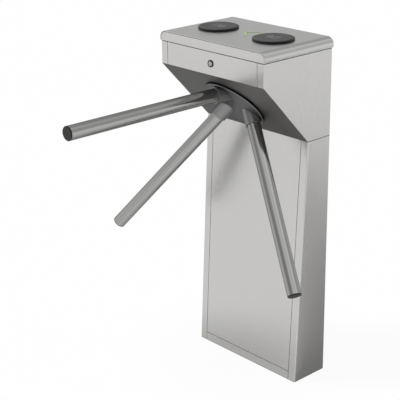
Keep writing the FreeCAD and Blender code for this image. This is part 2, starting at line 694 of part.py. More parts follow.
# Tripod hub: a flat disc with a boss and a bolt pocket for each arm
hub_top = HUB_GAP + HUB_T
bevel_at = hub_top - HUB_BEVEL
bearing_front = FRONT_FACE - HOUSING_LIP
bearing_rear = REAR_PLATE + HOUSING_LIP
socket_end = ARM_ROOT + SOCKET_DEPTH
bolt_seat = ARM_ROOT - SOCKET_FLOOR
boss_tip_r = ARM_R + BOSS_WALL
boss = cone(boss_tip_r + BOSS_FLARE, boss_tip_r, ARM_ROOT - BOSS_RUN, socket_end)
in_front = box(-ARM_REACH, ARM_REACH, -ARM_REACH, ARM_REACH, HUB_GAP, ARM_REACH)
hub = fuse([
    cyl(HUB_R, HUB_GAP, bevel_at),
    cone(HUB_R, HUB_R - HUB_BEVEL, bevel_at, hub_top),
    cyl(SHAFT_COLLAR_R, bearing_front, HUB_GAP),
] + [arm_place(boss, number).common(in_front) for number in range(3)])
arm_seat = fuse([
    cyl(ARM_R + FIT, ARM_ROOT, socket_end + SOCKET_RUN),
    hole(ARM_BOLT_R + LOOSE, bolt_seat, ARM_ROOT),
    cyl(ARM_BOLT_HEAD_R + HEAD_ROOM, bolt_seat - POCKET_L, bolt_seat),
])
for number in range(3):
    hub = hub.cut(arm_place(arm_seat, number))
bolt_floor = hub_top - HUB_CAP_T - HUB_BOLT_HEAD_L
shaft_top = bolt_floor - SOCKET_FLOOR
cap_r = HUB_BOLT_HEAD_R + HEAD_ROOM + HUB_CAP_SEAT
hub = hub.cut(cyl(SHAFT_R + FIT, bearing_front - OVERCUT, shaft_top + LOOSE))
hub = hub.cut(hole(HUB_BOLT_R + LOOSE, shaft_top, bolt_floor))
hub = hub.cut(cyl(HUB_BOLT_HEAD_R + HEAD_ROOM, bolt_floor, hub_top))
hub = hub.cut(cyl(cap_r, hub_top - HUB_CAP_T, hub_top + OVERCUT))
save("hub_casting", hub_place(hub))
save("hub_cap", hub_place(cyl(cap_r - FIT, hub_top - HUB_CAP_T, hub_top)))
hub_bolt = fuse([
    cyl(HUB_BOLT_HEAD_R, bolt_floor, bolt_floor + HUB_BOLT_HEAD_L - LOOSE),
    cyl(HUB_BOLT_R, bolt_floor - HUB_BOLT_L, bolt_floor),
])
save("hub_bolt", hub_place(hub_bolt))

# Arms
tube_end = ARM_REACH - CAP_T
plug_r = ARM_R - ARM_WALL - FIT
arm_tube = ring(ARM_R, ARM_R - ARM_WALL, ARM_ROOT, tube_end)
arm_cap = fuse([
    cyl(ARM_R, tube_end, ARM_REACH - CAP_EDGE),
    cone(ARM_R, ARM_R - CAP_EDGE, ARM_REACH - CAP_EDGE, ARM_REACH),
    cyl(plug_r, tube_end - CAP_PLUG, tube_end),
])
arm_plug = ring(plug_r, ARM_BOLT_R + FIT, ARM_ROOT, ARM_ROOT + PLUG_L)
arm_bolt = fuse([
    cyl(ARM_BOLT_HEAD_R, bolt_seat - ARM_BOLT_HEAD_L, bolt_seat),
    cyl(ARM_BOLT_R, bolt_seat, bolt_seat + ARM_BOLT_L),
])
for number in range(3):
    save("arm_" + str(number + 1), hub_place(arm_place(arm_tube, number)))
save_group("arm_end_caps", [hub_place(arm_place(arm_cap, number)) for number in range(3)])
save_group("arm_plugs", [hub_place(arm_place(arm_plug, number)) for number in range(3)])
save_group("arm_bolts", [hub_place(arm_place(arm_bolt, number)) for number in range(3)])

# Shaft and bearings
nut_end = GEAR_END - NUT_T
shaft = fuse([
    cyl(SHAFT_R, GEAR_END, shaft_top),
    cyl(SHAFT_COLLAR_R, bearing_rear + BEARING_W, bearing_front - BEARING_W),
    cyl(THREAD_R, nut_end - THREAD_TAIL, GEAR_END),
])
shaft = shaft.cut(cyl(HUB_BOLT_R + FIT, bolt_floor - HUB_BOLT_L - THREAD_TAIL, shaft_top + OVERCUT))
save("main_shaft", hub_place(shaft))
inner_rings = []
outer_rings = []
for start in (bearing_front - BEARING_W, bearing_rear):
    inner_rings.append(hub_place(ring(INNER_RACE_R, SHAFT_R + FIT, start, start + BEARING_W)))
    outer_rings.append(hub_place(ring(BEARING_R, OUTER_RACE_R, start, start + BEARING_W)))
save_group("bearing_inner_rings", inner_rings)
save_group("bearing_outer_rings", outer_rings)
housing = fuse([
    cyl(HOUSING_FLANGE_R, 0.0, HOUSING_FLANGE_T),
    cyl(HOUSING_R, HOUSING_FLANGE_T, HOUSING_L),
])
housing = housing.cut(cyl(BEARING_R + FIT, HOUSING_LIP, HOUSING_L + OVERCUT))
housing = housing.cut(hole(OUTER_RACE_R, 0.0, HOUSING_LIP))
front_housing = housing.copy()
front_housing.rotate(V(0, 0, 0), V(1, 0, 0), 180)
front_housing.translate(V(0, 0, FRONT_FACE))
rear_housing = housing.copy()
rear_housing.translate(V(0, 0, REAR_PLATE))
save_group("bearing_housings", [hub_place(front_housing), hub_place(rear_housing)])

# Mechanism frame: two plates on pillars, bolted to the bosses of the sloped panel
frame_x = FRAME_W / 2
frame_y = FRAME_H / 2
bolts = []
front_frame = box(-frame_x, frame_x, -frame_y, frame_y, FRONT_FACE, -FRONT_PLATE_AT)
front_frame = front_frame.cut(hole(PLATE_HOLE_R, FRONT_FACE, -FRONT_PLATE_AT))
for x, y in FRAME_BOLTS:
    front_frame = front_frame.cut(hole(BOLT_R + LOOSE, FRONT_FACE, -FRONT_PLATE_AT, x, y))
    head = cyl(BOLT_HEAD_R, FRONT_FACE - BOLT_HEAD_L, FRONT_FACE, x, y)
    bolts.append(hub_place(fuse([head, cyl(BOLT_R, FRONT_FACE, -SHEET - BOLT_END, x, y)])))
pillars = four_corners(frame_x - PILLAR_INSET_X, frame_y - PILLAR_INSET_Y)
save("mechanism_front_plate", hub_place(front_frame))
save_group("mechanism_bolts", bolts)
save_group("plate_pillars", [hub_place(cyl(PILLAR_R, REAR_PLATE, FRONT_FACE, x, y)) for x, y in pillars])
crank_front = GEAR_END - CRANK_GAP
crank_back = crank_front - CRANK_T
crank_pin_end = crank_back - CRANK_PIN_L
rear_frame = fuse([
    box(-frame_x, frame_x, -frame_y, frame_y, REAR_FACE, REAR_PLATE),
    cyl(SPRING_POST_R, crank_pin_end, REAR_FACE, SPRING_POST_X, -CENTRES),
])
rear_frame = rear_frame.cut(hole(PLATE_HOLE_R, REAR_FACE, REAR_PLATE))
rear_frame = rear_frame.cut(hole(DAMPER_SHAFT_R + DAMPER_HOLE_GAP, REAR_FACE, REAR_PLATE, 0.0, CENTRES))
save("mechanism_rear_plate", hub_place(rear_frame))


# Gears: involute teeth, the drive gear with one tooth centred on +Y
def involute(angle):
    return math.tan(angle) - angle


def gear_points(teeth, turn):
    pitch_r = GEAR_MODULE * teeth / 2
    base_r = pitch_r * math.cos(math.radians(PRESSURE_DEG))
    root_r = pitch_r - TOOTH_ROOT * GEAR_MODULE
    tip_r = pitch_r + GEAR_MODULE
    half = (math.pi * GEAR_MODULE / 2 - TOOTH_THIN) / 2 / pitch_r
    at_base = half + involute(math.radians(PRESSURE_DEG))
    flank = [(root_r, at_base)]
    start = max(base_r, root_r)
    for step in range(FLANK_STEPS + 1):
        r = start + (tip_r - start) * step / FLANK_STEPS
        flank.append((r, at_base - involute(math.acos(min(1.0, base_r / r)))))
    points = []
    for tooth in range(teeth):
        centre = math.pi / 2 + turn - 2 * math.pi * tooth / teeth
        for r, a in flank:
            points.append((r * math.cos(centre + a), r * math.sin(centre + a)))
        for r, a in reversed(flank):
            points.append((r * math.cos(centre - a), r * math.sin(centre - a)))
    return points


def pinion(y, turn, end):
    solid = prism_z(gear_points(PINION_TEETH, turn), end, GEAR_AT)
    solid.translate(V(0, y, 0))
    return solid


half_tooth = math.pi / PINION_TEETH
upper_turn = math.pi + half_tooth
lower_turn = half_tooth * (1 + GEAR_TEETH % 2)
gear = prism_z(gear_points(GEAR_TEETH, 0.0), GEAR_END, GEAR_AT)
save("drive_gear", hub_place(gear.cut(hole(SHAFT_R + FIT, GEAR_END, GEAR_AT))))
shaft_nut = hexagon(THREAD_R + NUT_WALL, nut_end, GEAR_END)
save("shaft_nut", hub_place(shaft_nut.cut(hole(THREAD_R + FIT, nut_end, GEAR_END))))

# Lock wheel, its collar against the rear bearing and a spacer against the gear
wheel = fuse([
    cyl(WHEEL_R, WHEEL_END, WHEEL_AT),
    cyl(SHAFT_COLLAR_R, WHEEL_AT, bearing_rear),
    cyl(SHAFT_R + SPACER_WALL, GEAR_AT, WHEEL_END),
]).cut(hole(SHAFT_R + FIT, GEAR_AT, bearing_rear))
notch_floor = WHEEL_R - NOTCH_DEPTH
notch_mouth = WHEEL_R + OVERCUT
notch_half = NOTCH_W / 2
notch_points = [
    (-notch_floor, NOTCH_TAPER - notch_half), (-notch_floor, notch_half - NOTCH_TAPER),
    (-notch_mouth, notch_half), (-notch_mouth, -notch_half),
]
for number in range(WHEEL_NOTCHES):
    notch = prism_z(notch_points, WHEEL_END - OVERCUT, WHEEL_AT + OVERCUT)
    notch.rotate(V(0, 0, 0), V(0, 0, 1), 360.0 / WHEEL_NOTCHES * number)
    wheel = wheel.cut(notch)
save("lock_wheel", hub_place(wheel))

# Damper with its pinion
damper_mid = REAR_PLATE + DAMPER_L / 2
damper = cyl(DAMPER_R, REAR_PLATE, REAR_PLATE + DAMPER_L, 0.0, CENTRES)
damper = damper.cut(cyl(DAMPER_SHAFT_R + FIT, REAR_PLATE - OVERCUT, damper_mid, 0.0, CENTRES))
save("damper_body", hub_place(damper))
damper_pinion = fuse([
    pinion(CENTRES, upper_turn, GEAR_END),
    cyl(DAMPER_SHAFT_R, GEAR_AT, damper_mid - DAMPER_END_GAP, 0.0, CENTRES),
])
save("damper_pinion", hub_place(damper_pinion))

# Centring pinion: three turns for one turn of the tripod, its crank pin pulled back by a spring
centring = fuse([
    pinion(-CENTRES, lower_turn, crank_front),
    cyl(CRANK_R, crank_back, crank_front, 0.0, -CENTRES),
    cyl(CRANK_PIN_R, crank_pin_end, crank_back, CRANK_AT, -CENTRES),
]).cut(hole(STUD_R + FIT, crank_back, GEAR_AT, 0.0, -CENTRES))
save("centring_pinion", hub_place(centring))
stud = fuse([
    cyl(STUD_COLLAR_R, GEAR_AT + STUD_GAP, REAR_FACE, 0.0, -CENTRES),
    cyl(STUD_R, crank_back - STUD_TIP, GEAR_AT + STUD_GAP, 0.0, -CENTRES),
])
save("centring_stud", hub_place(stud))


# Spring wire: two tangent arcs for each half turn, with a hook at each end
def arc_from(a, heading, b):
    chord = b - a
    normal = (chord - heading * chord.dot(heading)).normalize()
    radius = chord.dot(chord) / (2 * chord.dot(normal))
    centre = a + normal * radius
    middle = centre + ((a - centre) + (b - centre)).normalize() * radius
    return Part.Arc(a, middle, b).toShape()


def biarc(p0, t0, p1, t1):
    gap = p1 - p0
    along = gap.dot(t0 + t1)
    bend = 2 * (1 - t0.dot(t1))
    reach = (math.sqrt(along * along + bend * gap.dot(gap)) - along) / bend
    joint = (p0 + p1 + (t0 - t1) * reach) * 0.5
    return [arc_from(p0, t0, joint), arc_from(p1, t1 * -1, joint)]


pin_loop = CRANK_PIN_R + HOOK_GAP + SPRING_WIRE_R
post_loop = SPRING_POST_R + HOOK_GAP + SPRING_WIRE_R
hook_x0 = CRANK_AT + pin_loop
hook_x1 = SPRING_POST_X - post_loop
coil_x0 = hook_x0 + HOOK_RUN
coil_x1 = hook_x1 - HOOK_RUN
coil_pitch = (coil_x1 - coil_x0) / SPRING_TURNS
coil_points = []
for half in range(2 * SPRING_TURNS + 1):
    side = -1 if half % 2 == 0 else 1
    point = V(coil_x0 + coil_pitch * half / 2, 0, side * SPRING_R)
    heading = V(coil_pitch / (2 * math.pi * SPRING_R), -side, 0).normalize()
    coil_points.append((point, heading))
coil_edges = []
for (p0, t0), (p1, t1) in zip(coil_points, coil_points[1:]):
    coil_edges += biarc(p0, t0, p1, t1)
coil_path = Part.Wire(coil_edges)
section = Part.Wire(Part.makeCircle(SPRING_WIRE_R, coil_points[0][0], coil_points[0][1]))
coil = coil_path.makePipeShell([section], True, False)
print("spring coil volume", coil.Volume, "section by length", math.pi * SPRING_WIRE_R ** 2 * coil_path.Length)
print("spring gap between turns", coil_pitch - 2 * SPRING_WIRE_R)
hooks = []
for x, loop, near, far, end in (
    (CRANK_AT, pin_loop, hook_x0, coil_x0, coil_x0),
    (SPRING_POST_X, post_loop, coil_x1, hook_x1, coil_x1),
):
    hooks.append(Part.makeTorus(loop, SPRING_WIRE_R, V(x, 0, 0), V(0, 0, 1)))
    hooks.append(cyl_x(SPRING_WIRE_R, near, far, 0.0, 0.0))
    hooks.append(Part.makeSphere(SPRING_WIRE_R, V(end, 0, 0)))
    hooks.append(cyl(SPRING_WIRE_R, -SPRING_R, 0.0, end, 0.0))
spring = fuse([coil] + hooks)
spring.translate(V(0, -CENTRES, (crank_back + crank_pin_end) / 2))
save("centring_spring", hub_place(spring))

# Lock pawl, released at rest, on a stud with an end clip
tip_x = -(WHEEL_R + PAWL_GAP)
back_x = tip_x - TOOTH_L
pawl_x = tip_x - PAWL_W / 4
wheel_mid = (WHEEL_AT + WHEEL_END) / 2
tail_y = PAWL_ARM + PAWL_TAIL
tail_half = PAWL_W / 2 + LINK_PIN_R
slot_half = LINK_PIN_R + LINK_GAP
slot_reach = slot_half + LINK_SLACK
tooth_points = [
    (back_x, -TOOTH_W), (tip_x, -TOOTH_W / 2), (tip_x, TOOTH_W / 2), (back_x, TOOTH_W),
]
pawl = fuse([
    cyl(PAWL_BOSS_R, WHEEL_END, WHEEL_AT, pawl_x, PAWL_ARM),
    box(back_x - PAWL_W / 2, back_x + PAWL_W / 2, -TOOTH_W, PAWL_ARM, WHEEL_END, WHEEL_AT),
    prism_z(tooth_points, WHEEL_END, WHEEL_AT),
    box(pawl_x - tail_half, pawl_x + tail_half, PAWL_ARM, tail_y + PAWL_W, WHEEL_END, WHEEL_AT),
]).cut(hole(STUD_R + FIT, WHEEL_END, WHEEL_AT, pawl_x, PAWL_ARM))
link_slot = box(
    pawl_x - slot_half, pawl_x + slot_half, tail_y - slot_reach, tail_y + slot_reach,
    WHEEL_END - OVERCUT, WHEEL_AT + OVERCUT,
)
save("lock_pawl", hub_place(pawl.cut(link_slot)))
clip_at = WHEEL_END - STUD_GAP
pawl_stud = fuse([
    cyl(STUD_COLLAR_R, WHEEL_AT + STUD_GAP, REAR_FACE, pawl_x, PAWL_ARM),
    cyl(STUD_R, clip_at, WHEEL_AT + STUD_GAP, pawl_x, PAWL_ARM),
    cyl(STUD_COLLAR_R, clip_at - CLIP_T, clip_at, pawl_x, PAWL_ARM),
])
save("pawl_stud", hub_place(pawl_stud))

# Solenoid and its forked plunger
coil_face = pawl_x - SOLENOID_OFF
coil_end = coil_face - SOLENOID_L
coil_back = wheel_mid - PLUNGER_R - SOLENOID_COVER
solenoid = box(
    coil_end, coil_face, tail_y - SOLENOID_W / 2, tail_y + SOLENOID_W / 2, coil_back, REAR_FACE,
)
plunger_bore = cyl_x(PLUNGER_R + FIT, coil_end + SOLENOID_END, coil_face + OVERCUT, tail_y, wheel_mid)
save("solenoid", hub_place(solenoid.cut(plunger_bore)))
fork_in = WHEEL_T / 2 + STUD_GAP
fork_out = fork_in + FORK_T
fork_x0 = pawl_x - PAWL_W - LINK_PIN_R
fork_x1 = pawl_x + LINK_PIN_R + FORK_T
rod_end = fork_x0 - FORK_T
fork = box(
    rod_end, fork_x1, tail_y - PLUNGER_R, tail_y + PLUNGER_R, wheel_mid - fork_out, wheel_mid + fork_out,
)
fork_mouth = box(
    fork_x0, fork_x1 + OVERCUT, tail_y - PLUNGER_R - OVERCUT, tail_y + PLUNGER_R + OVERCUT,
    wheel_mid - fork_in, wheel_mid + fork_in,
)
plunger = fuse([
    cyl_x(PLUNGER_R, fork_x1 - PLUNGER_L, rod_end, tail_y, wheel_mid),
    fork.cut(fork_mouth),
    cyl(LINK_PIN_R, wheel_mid - fork_out, wheel_mid + fork_out, pawl_x, tail_y),
])
save("solenoid_plunger", hub_place(plunger))

# Electrics on the pedestal's back panel
for name, width, depth, height, z in (
    ("control_box", CONTROL_W, CONTROL_D, CONTROL_H, CONTROL_Z),
    ("power_supply", SUPPLY_W, SUPPLY_D, SUPPLY_H, SUPPLY_Z),
):
    save(name, box(-width / 2, width / 2, back_in - depth, back_in, z, z + height))
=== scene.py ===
import json
import math

import bmesh
import bpy
from mathutils import Matrix, Vector


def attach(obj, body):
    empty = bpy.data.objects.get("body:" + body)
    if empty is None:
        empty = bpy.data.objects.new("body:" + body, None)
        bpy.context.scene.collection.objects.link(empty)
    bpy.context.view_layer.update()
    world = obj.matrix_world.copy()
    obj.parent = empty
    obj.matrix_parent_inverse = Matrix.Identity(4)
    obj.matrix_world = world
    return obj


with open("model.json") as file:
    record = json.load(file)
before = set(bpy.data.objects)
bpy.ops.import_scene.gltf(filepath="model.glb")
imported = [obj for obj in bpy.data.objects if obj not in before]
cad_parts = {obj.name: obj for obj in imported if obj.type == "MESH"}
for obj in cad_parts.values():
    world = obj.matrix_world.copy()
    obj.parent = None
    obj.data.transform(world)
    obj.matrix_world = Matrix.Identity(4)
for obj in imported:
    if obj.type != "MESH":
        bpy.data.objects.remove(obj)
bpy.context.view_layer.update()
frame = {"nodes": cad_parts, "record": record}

# Camera, fitted to the cabinet's corners in a 400 by 400 picture: metres, degrees, lens and sensor in mm
CAMERA_AT = Vector((2.18225, -2.22943, 1.67424))
CAMERA_YAW = 47.684
CAMERA_PITCH = 20.660
CAMERA_ROLL = -0.747
CAMERA_LENS = 102.86
CAMERA_SENSOR = 36.0

# Lamp, in degrees: where its light goes, clockwise from +Y seen from above and downward, and its width
LAMP_TURN = 47.0
LAMP_FALL = 22.0
LAMP_WIDTH = 19.0
# Lamp: strength
LAMP_ENERGY = 6.5

# Room: its grey levels, each after the sine of its height above the horizon
ROOM_LEVELS = ((0.0, 1.0), (0.08, 0.96), (0.28, 0.62), (0.48, 0.56), (0.74, 0.95), (1.0, 1.05))
# Room: its strength as light on matt surfaces, and as the camera and mirrors see it
ROOM_LIGHT = 0.30
ROOM_SEEN = 1.0
# Darker parts of the room: direction, share of the light kept, and the cosines where they start and end
DARK_WALLS = (
    ((-0.25, -0.88, 0.40), 0.65, 0.84, 0.97),
    ((-0.23, 0.63, 0.74), 0.54, 0.91, 0.985),
)

# Floor, in metres: half its side, and the distances from the origin between which its shade fades
FLOOR_HALF = 9.0
FLOOR_FADE = (0.15, 0.45)
# Floor: the shares of plain white that the camera and mirrors see in it
FLOOR_SEEN = 0.95
FLOOR_MIRRORED = 0.10
FLOOR_ROUGH = 0.9
FLOOR_GLOSS = 0.1

# Hub, in metres: centre on the sloped sheet, axis outward, and its flat face along that axis
HUB_AT = Vector((0.0, -0.107822, 0.811972))
HUB_OUT = Vector((0.0, -0.725374, -0.688355))
HUB_FACE = 0.0085
# Heights over the hub's face, in metres, between which the painted shade on its rim ends and its bright
# bosses begin
RIM_SHADE_ENDS = (-0.0035, -0.0020)
BOSS_BEGINS = (0.0005, 0.0025)

# Directions of the three arms, from the hub outward
ARM_WAYS = (
    Vector((0.0, -1.0, 0.0)),
    Vector((0.596, -0.289, -0.749)),
    Vector((-0.596, -0.289, -0.749)),
)

# Bent sides of the lid, in metres: centre and radius of a bend, and the lid's foot
BEND_X = 0.182630
BEND_Z = 0.979630
BEND_R = 0.020370
BEND_STEPS = 16
LID_FOOT = 0.972
# Ends of the lid: place along Y in metres, and the way inward
LID_ENDS = ((-0.199, 1.0), (0.064, -1.0))

# Dark strip in the groove round each end plate as painted shade, in metres: inset from the lid's outline,
# width, depth behind it
SHADE_STRIP_EDGE = 0.00205
SHADE_STRIP_W = 0.00095
SHADE_STRIP_SINK = 0.0004

# Signs on the card readers, in metres: place, thickness, width of a line, radii of the waves, card
READER_X = 0.106
READER_Y = -0.0675
READER_TOP = 1.006
SIGN_RISE = 0.00015
SIGN_LINE = 0.0024
SIGN_WAVES = (0.007, 0.013, 0.019)
SIGN_CARD = (0.024, 0.015)
# Signs, in degrees: turn on the reader, middle of a wave, and step between its points; then steps each side
SIGN_TURN = 90.0
WAVE_MIDDLE = 90.0
WAVE_STEP = 8.0
WAVE_REACH = 6

# Colours, as linear values
STEEL_LIGHT = (0.640, 0.634, 0.622)
STEEL_DARK = (0.612, 0.606, 0.595)
# Lid: the same steel a little darker, as painted shade on its top
LID_LIGHT = (0.610, 0.606, 0.600)
LID_DARK = (0.585, 0.581, 0.575)
# Sloped sheet: dark as painted shade, for the shade it lies in facing down
SLOPE_LIGHT = (0.106, 0.105, 0.101)
SLOPE_DARK = (0.092, 0.092, 0.089)
SLOPE_WARM = (0.112, 0.107, 0.103)
# Tubes: two tones for streaks, partly polish and partly painted reflection
TUBE_LIGHT = (0.450, 0.448, 0.441)
TUBE_DARK = (0.310, 0.309, 0.306)
HUB_LIGHT = (0.205, 0.206, 0.207)
HUB_DARK = (0.165, 0.167, 0.169)
# Near-black painted shade on the hub's rim wall
HUB_RIM_SHADE = (0.012, 0.012, 0.012)
BOSS_LIGHT = (0.300, 0.301, 0.302)
BOSS_DARK = (0.235, 0.237, 0.239)
BLACK = (0.008, 0.008, 0.008)
BLACK_WORN = (0.016, 0.016, 0.016)
READER_GREY = (0.052, 0.052, 0.053)
READER_WORN = (0.066, 0.066, 0.067)
PRINT_GREY = (0.300, 0.300, 0.300)
PRINT_WORN = (0.240, 0.240, 0.240)
NICKEL_LIGHT = (0.620, 0.612, 0.600)
NICKEL_DARK = (0.440, 0.434, 0.424)
RING_LIGHT = (0.110, 0.108, 0.105)
RING_DARK = (0.060, 0.059, 0.058)
MACHINED_LIGHT = (0.680, 0.675, 0.660)
MACHINED_DARK = (0.520, 0.516, 0.505)
GREEN = (0.330, 0.520, 0.120)
GREEN_DEEP = (0.240, 0.400, 0.090)
CONTROL_GREY = (0.420, 0.432, 0.440)
CONTROL_WORN = (0.480, 0.490, 0.496)
SUPPLY_LIGHT = (0.560, 0.565, 0.570)
SUPPLY_DARK = (0.420, 0.425, 0.430)
FLOOR_PALE = (0.890, 0.890, 0.890)
FLOOR_NEAR = (0.550, 0.550, 0.550)

# Roughness, one value or a lowest and a highest
STEEL_ROUGH = 0.26
LID_ROUGH = 0.28
SLOPE_ROUGH = 0.46
TUBE_ROUGH = (0.14, 0.19)
HUB_ROUGH = (0.36, 0.46)
NICKEL_ROUGH = 0.24
RING_ROUGH = 0.30
MACHINED_ROUGH = 0.36
SUPPLY_ROUGH = 0.40
BLACK_ROUGH = 0.42
CONTROL_ROUGH = 0.50
READER_ROUGH = 0.58
PRINT_ROUGH = 0.60
RUBBER_ROUGH = 0.62
LENS_ROUGH = (0.22, 0.34)

# Grey of the mirror image at grazing angles, for bright metal, the dark sheet and hub, and the tubes
STEEL_GRAZING = 0.8
DARK_GRAZING = 0.45
TUBE_GRAZING = 0.28

# Share of metal in the mix, for the dark sheet and for the pieces inside the head
SLOPE_METAL = 0.6
MACHINED_METAL = 0.5
SUPPLY_METAL = 0.6

# Gloss of the plastics: the usual one, the black mouldings, and the readers
PLASTIC_GLOSS = 0.5
BLACK_GLOSS = 0.25
READER_GLOSS = 0.28

# Noise: its own roughness, and the range that most of its values fall in
NOISE_ROUGHNESS = 0.55
NOISE_LOW = 0.3
NOISE_HIGH = 0.7

# Edges: cosines of the bend that count as an edge and as flat
EDGE_SHARP = 0.80
EDGE_FLAT = 0.99
EDGE_SAMPLES = 4

# Painted shade in gaps: depth in metres, share of colour kept outside and inside the head, and openness of
# gap and surface
GAP_DEPTH = 0.006
GAP_SHADE_OUTSIDE = 0.08
GAP_SHADE_INSIDE = 0.6
GAP_RANGE = (0.35, 0.75)
GAP_SAMPLES = 8

# Brushing directions
ALONG_X = 0
ALONG_Z = 2

# Brushed metal, in cells per metre: hairlines and streaks, across and along the brushing, and smudges
HAIR_CELLS = (650.0, 5.0)
STREAK_CELLS = (48.0, 1.3)
SMUDGE_CELLS = (4.0, 4.0, 3.0)
# Brushed metal: share of hairlines in the lines, and the values where lines turn dark and light
HAIR_SHARE = 0.75
LINE_RANGE = (0.32, 0.68)
# Brushed metal: rounding of its edges in metres, their wear, and how much paler worn metal is
METAL_EDGE = 0.0012
METAL_WEAR = 0.10
METAL_PALER = 1.2
# Brushed metal: roughness that streaks take or add, roughness that smudges add, and where smudges show
STREAK_ROUGH = 0.008
SMUDGE_ROUGH = 0.03
SMUDGE_RANGE = (0.52, 0.72)

# Moulded pieces, in cells per metre: fine pebble, coarse pebble, and dull patches
PEBBLE_FINE = 1400.0
PEBBLE_COARSE = 700.0
DULL_CELLS = 26.0
# Moulded pieces: strength of dull patches, and roughness that they take or add
DULL_SHARE = 0.45
DULL_ROUGH = 0.06
# Moulded pieces: rounding of their edges in metres, their wear, and how much paler a rubbed edge is
MOULD_EDGE = 0.0008
MOULD_WEAR = 0.6
MOULD_PALER = 1.35

# Sloped sheet, warmer to the right: cells per metre of its drift, drift in metres, reach along X, strength
DRIFT_CELLS = 3.2
DRIFT = 0.04
WARM_RANGE = (-0.05, 0.20)
WARM_SHARE = 0.9

# Polished tube, in cells per metre across and along it: hairlines, bands of polish and painted reflection,
# and smudges
TUBE_HAIR = (900.0, 6.0)
TUBE_POLISH_AND_REFLECTION = (150.0, 0.5)
TUBE_SMUDGE = (12.0, 6.0)
TUBE_RANGE = (0.35, 0.65)

# Hub casting: cells per metre of its grain and patches, rounding of its edges in metres, and the painted
# highlight on them
HUB_GRAIN = 900.0
HUB_PATCH = 30.0
HUB_EDGE = 0.0014
HUB_EDGE_HIGHLIGHT = 0.75
# Hub casting: depth of its gaps in metres, and the share of colour kept in them as painted shade
HUB_GAP = 0.004
HUB_GAP_SHADE_KEEP = 0.35

# Lens: cells per metre of its clouds, and its glow
LENS_CELLS = 160.0
LENS_GLOW = 0.05

# Bumps: strength, and height in metres
HAIR_BUMP = (0.01, 0.0001)
PEBBLE_BUMP = (0.12, 0.0002)
TUBE_BUMP = (0.05, 0.0002)
HUB_BUMP = (0.08, 0.0002)


# Material helpers
def new_material(name):
    """A new material, its node tree and its shader."""
    material = bpy.data.materials.new(name)
    material.use_nodes = True
    tree = material.node_tree
    shader = tree.nodes["Principled BSDF"]
    return material, tree, shader


def own_place(tree):
    """Place on the piece, in metres."""
    return tree.nodes.new("ShaderNodeTexCoord").outputs["Object"]


def even(cells):
    """The same cells per metre along x, y and z."""
    return (cells, cells, cells)


def brush_scale(axis, across, along):
    """Cells per metre along x, y and z, for lines along one axis."""
    scale = [across, across, across]
    scale[axis] = along
    return tuple(scale)


def noise(tree, scale, detail):
    """Noise over the piece's own metres; scale is cells per metre along x, y and z."""
    stretch = tree.nodes.new("ShaderNodeMapping")
    stretch.inputs["Scale"].default_value = scale
    texture = tree.nodes.new("ShaderNodeTexNoise")
    texture.inputs["Scale"].default_value = 1.0
    texture.inputs["Detail"].default_value = detail
    texture.inputs["Roughness"].default_value = NOISE_ROUGHNESS
    tree.links.new(own_place(tree), stretch.inputs["Vector"])
    tree.links.new(stretch.outputs["Vector"], texture.inputs["Vector"])
    return texture.outputs["Fac"]


def tube_noise(tree, turned, cells, detail):
    """Noise stretched along a tube; turned is the place with the tube's direction as its Z."""
    across, lengthwise = cells
    stretch = tree.nodes.new("ShaderNodeVectorMath")
    stretch.operation = "MULTIPLY"
    stretch.inputs[1].default_value = (across, across, lengthwise)
    texture = tree.nodes.new("ShaderNodeTexNoise")
    texture.inputs["Scale"].default_value = 1.0
    texture.inputs["Detail"].default_value = detail
    tree.links.new(turned, stretch.inputs[0])
    tree.links.new(stretch.outputs["Vector"], texture.inputs["Vector"])
    return texture.outputs["Fac"]


def spread(tree, value, low, high, start=NOISE_LOW, end=NOISE_HIGH):
    """Maps start..end of a value to low..high."""
    node = tree.nodes.new("ShaderNodeMapRange")
    node.inputs["From Min"].default_value = start
    node.inputs["From Max"].default_value = end
    node.inputs["To Min"].default_value = low
    node.inputs["To Max"].default_value = high
    tree.links.new(value, node.inputs["Value"])
    return node.outputs["Result"]


def combine(tree, operation, a, b):
    """Joins two values by a sum, product or maximum; each is a number or an output."""
    node = tree.nodes.new("ShaderNodeMath")
    node.operation = operation
    for socket, value in zip(node.inputs, (a, b)):
        if isinstance(value, (int, float)):
            socket.default_value = value
        else:
            tree.links.new(value, socket)
    return node.outputs["Value"]


def project(tree, vector, direction):
    """How far a vector reaches along a fixed direction."""
    node = tree.nodes.new("ShaderNodeVectorMath")
    node.operation = "DOT_PRODUCT"
    node.inputs[1].default_value = direction
    tree.links.new(vector, node.inputs[0])
    return node.outputs["Value"]


def scaled(tree, colour, factor):
    """A colour times a factor; both are outputs."""
    node = tree.nodes.new("ShaderNodeVectorMath")
    node.operation = "SCALE"
    tree.links.new(colour, node.inputs[0])
    tree.links.new(factor, node.inputs["Scale"])
    return node.outputs["Vector"]


def tint(tree, factor, first, second):
    """Mixes two colours; each is a colour or an output."""
    node = tree.nodes.new("ShaderNodeMix")
    node.data_type = "RGBA"
    tree.links.new(factor, node.inputs["Factor"])
    for socket, value in ((node.inputs[6], first), (node.inputs[7], second)):
        if isinstance(value, tuple):
            socket.default_value = (*value, 1.0)
        else:
            tree.links.new(value, socket)
    return node.outputs[2]


def paler(colour, times):
    """A colour times a number, up to white."""
    return tuple(min(1.0, value * times) for value in colour)


